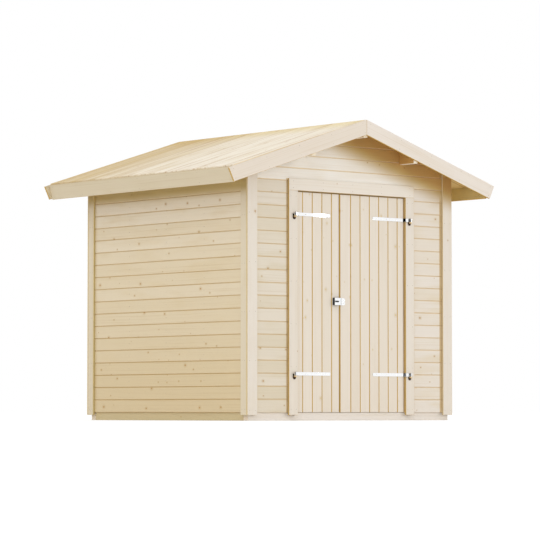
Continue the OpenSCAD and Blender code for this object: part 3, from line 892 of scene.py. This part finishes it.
# painted shade: nearly black steel for the sides and inside of the hasp keeper, and for the hook screws
blued_steel = zinc("blued_steel", "#3d4350", "#2a2f3a", metallic=0.7, roughness=0.3)
yellow_zinc = zinc("yellow_zinc", "#f3d9a8", "#d8b67c", metallic=0.3, roughness=0.4)
nail_steel = zinc("nail_steel", "#b9ad99", "#a39682", metallic=0.4, roughness=0.5)
print("steel finishes:", [m.name for m in bpy.data.materials if "steel" in m.name or "zinc" in m.name])

# %% Plate the ironwork
IRON_EASED = 0.0005
ROUND_ANGLE = math.radians(30)
SHEET_T = 0.003
PAST_SHEET, WITHIN_SHEET = 1.1 * SHEET_T, 0.4 * SHEET_T


def iron(node, body, slot="zinc_steel", finish=zinc_steel, behind=None, depth=0.0):
    """A node of the ironwork, shaded round, with one finish up to a depth behind its front."""
    bm = merged_copy(node)
    ease_edges(bm, IRON_EASED, 1)
    mesh = mesh_of(node, bm)
    mesh.polygons.foreach_set("use_smooth", [True] * len(mesh.polygons))
    mesh.set_sharp_from_angle(angle=ROUND_ANGLE)
    mesh.materials.append(finish)
    if behind:
        mesh.materials.append(behind)
        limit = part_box(node)[0].y + depth
        mesh.polygons.foreach_set("material_index", [int(face.center.y > limit) for face in mesh.polygons])
    dress(add_object(node + "_iron", mesh), body, slot, node)


hook_low, hook_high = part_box("hinge_hooks")
plate_depth = hook_high.y - hook_low.y - PAST_SHEET
# the hook plates behind the pins get the painted dark reflection
iron("hinge_hooks", "shed", "dark_steel", finish=yellow_zinc, behind=dark_steel, depth=plate_depth)
# the keeper's sides and inside get the painted shade
iron("hasp_keeper", "left_leaf", behind=blued_steel, depth=WITHIN_SHEET)
iron("hasp_plate", "right_leaf")
for side in ("left", "right"):
    iron(side + "_hinge_straps", side + "_leaf")

# %% [markdown]
# ## Screws and nails
# The straps, hooks and hasp are held by cross-head screws, and the boards and cover strips by nails. Heads
# repeat along lines, so a second small tree lays them: it draws a line of points, puts a head on each, turns
# it to face outwards and spins it by chance, as no fitter lines up the crosses.

# %% Draw the heads
SCREW_R, SCREW_H = 0.0048, 0.0022
NAIL_R, NAIL_H = 0.0028, 0.0005


def ring(bm, radius, height, angles):
    return [bm.verts.new((radius * math.cos(a), radius * math.sin(a), height)) for a in angles]


def wrap(bm, lower, upper):
    for i, vertex in enumerate(lower):
        j = (i + 1) % len(lower)
        bm.faces.new((vertex, lower[j], upper[j], upper[i]))


def head_mesh(name, bm):
    bmesh.ops.recalc_face_normals(bm, faces=bm.faces)
    return mesh_of(name, bm)


def screw_head():
    """A domed head with a cross-shaped recess."""
    arm, half = SCREW_R * 0.55, SCREW_R * 0.13
    quarter = [(arm, half), (half, half), (half, arm)]
    cross = [Matrix.Rotation(math.radians(90 * k), 2) @ Vector(p) for k in range(4) for p in quarter]
    angles = [math.atan2(p.y, p.x) for p in cross]
    bm = bmesh.new()
    foot = ring(bm, SCREW_R, 0, angles)
    shoulder = ring(bm, SCREW_R * 0.94, SCREW_H * 0.55, angles)
    crown = ring(bm, SCREW_R * 0.68, SCREW_H, angles)
    mouth = [bm.verts.new((p.x, p.y, SCREW_H)) for p in cross]
    recess = [bm.verts.new((p.x, p.y, SCREW_H * 0.3)) for p in cross]
    for lower, upper in ((foot, shoulder), (shoulder, crown), (crown, mouth), (mouth, recess)):
        wrap(bm, lower, upper)
    bm.faces.new(recess)
    bm.faces.new(foot)
    return head_mesh("screw_head", bm)


def nail_head():
    """A flat round head, driven nearly flush."""
    angles = [math.radians(45 * k) for k in range(8)]
    bm = bmesh.new()
    foot = ring(bm, NAIL_R, -NAIL_H, angles)
    rim = ring(bm, NAIL_R, NAIL_H * 0.5, angles)
    top = ring(bm, NAIL_R * 0.7, NAIL_H, angles)
    wrap(bm, foot, rim)
    wrap(bm, rim, top)
    bm.faces.new(top)
    bm.faces.new(foot)
    return head_mesh("nail_head", bm)


SCREW, NAIL = screw_head(), nail_head()
print("a screw head has", len(SCREW.polygons), "faces and a nail head", len(NAIL.polygons))

# %% The node tree for a line of heads
LINE_SIZES = {"Count": INT, "Seed": INT, "Start": VECTOR, "Step": VECTOR, "Facing": VECTOR, "Finish": FINISH}


def line_tree():
    tree, sockets = new_tree("line_of_heads", "Head", LINE_SIZES, "Heads")
    bench = Wire(tree)
    given = bench.node("NodeGroupInput")
    points = bench.node("GeometryNodeMeshLine", None, {
        "Count": given["Count"], "Start Location": given["Start"], "Offset": given["Step"]})
    turn = bench.node("FunctionNodeRandomValue", {"data_type": "FLOAT"}, {
        "Min": 0.0, "Max": 2 * math.pi, "Seed": given["Seed"]})
    spin = bench.node("FunctionNodeAxisAngleToRotation", None, {"Axis": (0, 0, 1), "Angle": turn})
    upright = bench.node("FunctionNodeAlignRotationToVector", {"axis": "Z"}, {"Vector": given["Facing"]})
    turned = bench.node("FunctionNodeRotateRotation", {"rotation_space": "LOCAL"}, {
        "Rotation": upright, "Rotate By": spin})
    heads = bench.node("GeometryNodeInstanceOnPoints", None, {
        "Points": points, "Instance": given["Head"], "Rotation": turned})
    heads = bench.node("GeometryNodeRealizeInstances", None, {"Geometry": heads})
    heads = bench.node("GeometryNodeSetMaterial", None, {"Geometry": heads, "Material": given["Finish"]})
    bench.node("NodeGroupOutput", None, {"Heads": heads})
    return tree, sockets


line_nodes, line_sockets = line_tree()
head_seeds = random.Random(5)


def head_line(head, count, start, step, facing, finish=nail_steel):
    """A line of screw or nail heads as a new object."""
    sizes = {"Count": count, "Seed": head_seeds.randrange(SEEDS), "Start": start, "Step": step,
             "Facing": facing, "Finish": finish}
    return grow("heads", head, line_nodes, line_sockets, sizes)


def fasten(name, body, lines):
    """Join lines of heads into one piece of a body."""
    piece = join_rows(name, lines)
    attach(piece, body)
    print(name, "with", len(piece.data.polygons), "faces")


print("heads are laid with", ", ".join(line_sockets))

# %% Screw on the hinges and the hasp
STRAP_T, STRAP_H = 0.004, 0.030
STRAP_SCREWS = {"Count": 3, "First": 0.295, "Step": 0.1155}
HOOK_SCREW_DROP = 0.040
PLATE_SCREW_IN, PLATE_SCREW_APART = 0.018, 0.027
OUTWARDS = (0, -1, 0)
pins = {joint["child"]: joint["pos_m"] for joint in frame["joints"]}
shed_heads = []
for side, way in (("left", -1), ("right", 1)):
    leaf_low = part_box(side + "_door")[0]
    strap_low, strap_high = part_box(side + "_hinge_straps")
    screws = []
    for middle in (strap_low.z + STRAP_H / 2, strap_high.z - STRAP_H / 2):
        start = (way * STRAP_SCREWS["First"], leaf_low.y - STRAP_T, middle)
        step = (way * STRAP_SCREWS["Step"], 0, 0)
        screws.append(head_line(SCREW, STRAP_SCREWS["Count"], start, step, OUTWARDS, zinc_steel))
        hook_place = (pins[side + "_leaf"][0], hook_high.y - SHEET_T, middle - HOOK_SCREW_DROP)
        # the hook screws are painted as dark as the painted shade, for a dark spot under each pin
        shed_heads.append(head_line(SCREW, 1, hook_place, (0, 0, 0), OUTWARDS, blued_steel))
    if side == "right":
        plate_low, plate_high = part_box("hasp_plate")
        foot = (plate_low.z + plate_high.z - PLATE_SCREW_APART) / 2
        start = (plate_high.x - PLATE_SCREW_IN, leaf_low.y - SHEET_T, foot)
        screws.append(head_line(SCREW, 2, start, (0, 0, PLATE_SCREW_APART), OUTWARDS, zinc_steel))
    fasten(side + "_leaf_screws", side + "_leaf", screws)

# %% Nail on the strips and the boards
NAIL_SPACING = 0.42
NAIL_IN = 0.022
NAIL_END = 0.05


def nail_strip(solid):
    """Two lines of nails along the outer face of a strip."""
    faces = {f for v in solid for f in v.link_faces}
    middle = sum((v.co for v in solid), Vector()) / len(solid)
    shed_middle = Vector((0, 0, middle.z))
    outer = max(faces, key=lambda f: f.calc_area() * (f.normal.dot(middle - shed_middle) > 0))
    along = max((e.verts[1].co - e.verts[0].co for e in outer.edges), key=lambda step: step.length)
    length, along = along.length, along.normalized()
    across = outer.normal.cross(along)
    centre = outer.calc_center_median()
    width = 2 * max(abs((v.co - centre).dot(across)) for v in outer.verts)
    count = 1 + math.ceil((length - 2 * NAIL_END) / NAIL_SPACING)
    step = along * (length - 2 * NAIL_END) / (count - 1)
    for edge in (-1, 1):
        start = centre - step * (count - 1) / 2 + across * edge * (width / 2 - NAIL_IN)
        yield head_line(NAIL, count, start, step, outer.normal)


for node in ("gable_corner_trims", "side_corner_trims", "door_side_trims", "door_head_trim", "eave_fascias",
             "left_bargeboards", "right_bargeboards"):
    strips = merged_copy(node)
    for solid in solids_of(strips):
        shed_heads.extend(nail_strip(solid))
    strips.free()
print("lines of heads on the shed so far:", len(shed_heads))

# %% Nail the boards to the frame
nailed_boards = math.floor((left_high.z - FIRST_JOINT) / BOARD_COVER)
first_nail = FIRST_JOINT + BOARD_COVER / 2
studs = merged_copy("wall_studs")
for solid in solids_of(studs):
    middle = sum((v.co for v in solid), Vector()) / len(solid)
    if WALL_X - abs(middle.x) < WALL_Y - abs(middle.y):
        facing = Vector((math.copysign(1, middle.x), 0, 0))
        start = (facing.x * WALL_X, middle.y, first_nail)
    else:
        facing = Vector((0, math.copysign(1, middle.y), 0))
        start = (middle.x, facing.y * WALL_Y, first_nail)
    shed_heads.append(head_line(NAIL, nailed_boards, start, (0, 0, BOARD_COVER), facing))
studs.free()

half_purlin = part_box("ridge_purlin")[1].x
nail_rows = (half_purlin / 2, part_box("side_purlins")[1].x - half_purlin, WALL_X)
for way in (-1, 1):
    facing = (way * math.sin(PITCH), 0, math.cos(PITCH))
    for out in nail_rows:
        start = (way * out, ROOF_COVER / 2 - deck_y, RIDGE - out * SLOPE)
        shed_heads.append(head_line(NAIL, int(2 * deck_y / ROOF_COVER), start, (0, ROOF_COVER, 0), facing))
fasten("shed_screws_and_nails", "shed", shed_heads)

# %% [markdown]
# ## White floor and soft light
# The shed stands in an empty white room. The world is white to the camera and to shiny metal, and a plain
# dome of light to everything else. A soft lamp from the right throws the shadows, and wider ones from the
# left and from above fill them. White metal in a white room has no shape, so a dark flag hangs at the left,
# as in a studio: only shiny surfaces see it. The floor fades into the white of the world away from the shed,
# and keeps the shadow near it.

# %% The world
DOME = 0.55
bpy.context.scene.view_settings.view_transform = "Standard"


def seen_directly(bench):
    """1 for rays from the camera, from a shiny surface or through glass, and 0 for the rest."""
    path = bench.node("ShaderNodeLightPath")
    return path["Is Camera Ray"].most(path["Is Glossy Ray"]).most(path["Is Transmission Ray"])


world = bpy.data.worlds.new("white_room")
world.use_nodes = True
world.node_tree.nodes.clear()
bench = Wire(world.node_tree)
level = DOME + seen_directly(bench) * (1 - DOME)
sky = bench.node("ShaderNodeBackground", None, {"Color": (1, 1, 1, 1), "Strength": level})
bench.node("ShaderNodeOutputWorld", None, {"Surface": sky})
bpy.context.scene.world = world
print("dome of", DOME)

# %% The lamps
def broad_lamp(name, strength, width, come_from, mirrored=False):
    """A very wide sun, whose shadows have no edge and which metal mirrors only where asked."""
    light = bpy.data.lights.new(name, "SUN")
    light.energy = strength
    light.angle = math.radians(width)
    lamp = add_object(name, light)
    lamp.rotation_euler = Vector(come_from).to_track_quat("Z", "Y").to_euler()
    lamp.visible_glossy = mirrored
    print(name, "of strength", strength, "from", tuple(round(x, 2) for x in come_from))


broad_lamp("main_lamp", strength=0.92, width=25, come_from=(1.3, -1.1, 0.5), mirrored=True)
broad_lamp("left_lamp", strength=1.15, width=90, come_from=(-0.9, -0.2, 0.3))
broad_lamp("top_lamp", strength=0.6, width=90, come_from=(0, 0, 1))

# %% The dark flag
FLAG_RADIUS = 45
FLAG_TOP = 25
FLAG_FROM, FLAG_TO = 130, 255
FLAG_STEPS = 24


def dark_flag():
    """A dark wall on an arc at the left, which only shiny surfaces see."""
    step = (FLAG_TO - FLAG_FROM) / FLAG_STEPS
    turns = [math.radians(FLAG_FROM + step * i) for i in range(FLAG_STEPS + 1)]
    corners = [(FLAG_RADIUS * math.cos(turn), FLAG_RADIUS * math.sin(turn), height)
               for turn in turns for height in (0, FLAG_TOP)]
    quads = [(2 * i, 2 * i + 1, 2 * i + 3, 2 * i + 2) for i in range(FLAG_STEPS)]
    mesh = bpy.data.meshes.new("dark_flag")
    mesh.from_pydata(corners, [], quads)
    material, bench = empty_material("dark_cloth")
    cloth = bench.node("ShaderNodeEmission", None, {"Color": (0, 0, 0, 1), "Strength": 0})
    bench.node("ShaderNodeOutputMaterial", None, {"Surface": cloth})
    mesh.materials.append(material)
    flag = add_object("dark_flag", mesh)
    flag.visible_camera = False
    flag.visible_diffuse = False
    flag.visible_transmission = False
    flag.visible_shadow = False
    return flag


flag = dark_flag()
print("flag", FLAG_TOP, "m high at", FLAG_RADIUS, "m")

# %% The floor
FLOOR_HALF = 60
SHADOW_REACH = (1.5, 4.0)
FLOOR_LIFT = 0.6
FLOOR_GLOW = 1.085
FLOOR_WHITE = (0.97, 0.97, 0.97, 1)


def floor_finish():
    material, bench = empty_material("white_floor")
    place = bench.node("ShaderNodeTexCoord")["Object"]
    away = bench.node("ShaderNodeVectorMath", {"operation": "LENGTH"}, {0: place})["Value"]
    near, far = SHADOW_REACH
    fade = bench.node("ShaderNodeMapRange", None, {
        "Value": away, "From Min": near, "From Max": far, "To Min": FLOOR_LIFT, "To Max": 1})
    matt = bench.node("ShaderNodeBsdfDiffuse", None, {"Color": FLOOR_WHITE})
    white = bench.node("ShaderNodeEmission", None, {"Color": (1, 1, 1, 1), "Strength": FLOOR_GLOW})
    both = bench.node("ShaderNodeMixShader", None, {0: seen_directly(bench) * fade, 1: matt, 2: white})
    bench.node("ShaderNodeOutputMaterial", None, {"Surface": both})
    return material


corners = [(x * FLOOR_HALF, y * FLOOR_HALF, 0) for x, y in ((-1, -1), (1, -1), (1, 1), (-1, 1))]
floor_mesh = bpy.data.meshes.new("white_floor")
floor_mesh.from_pydata(corners, [], [(0, 1, 2, 3)])
floor_mesh.materials.append(floor_finish())
white_floor = add_object("white_floor", floor_mesh)
print("floor", 2 * FLOOR_HALF, "m wide")
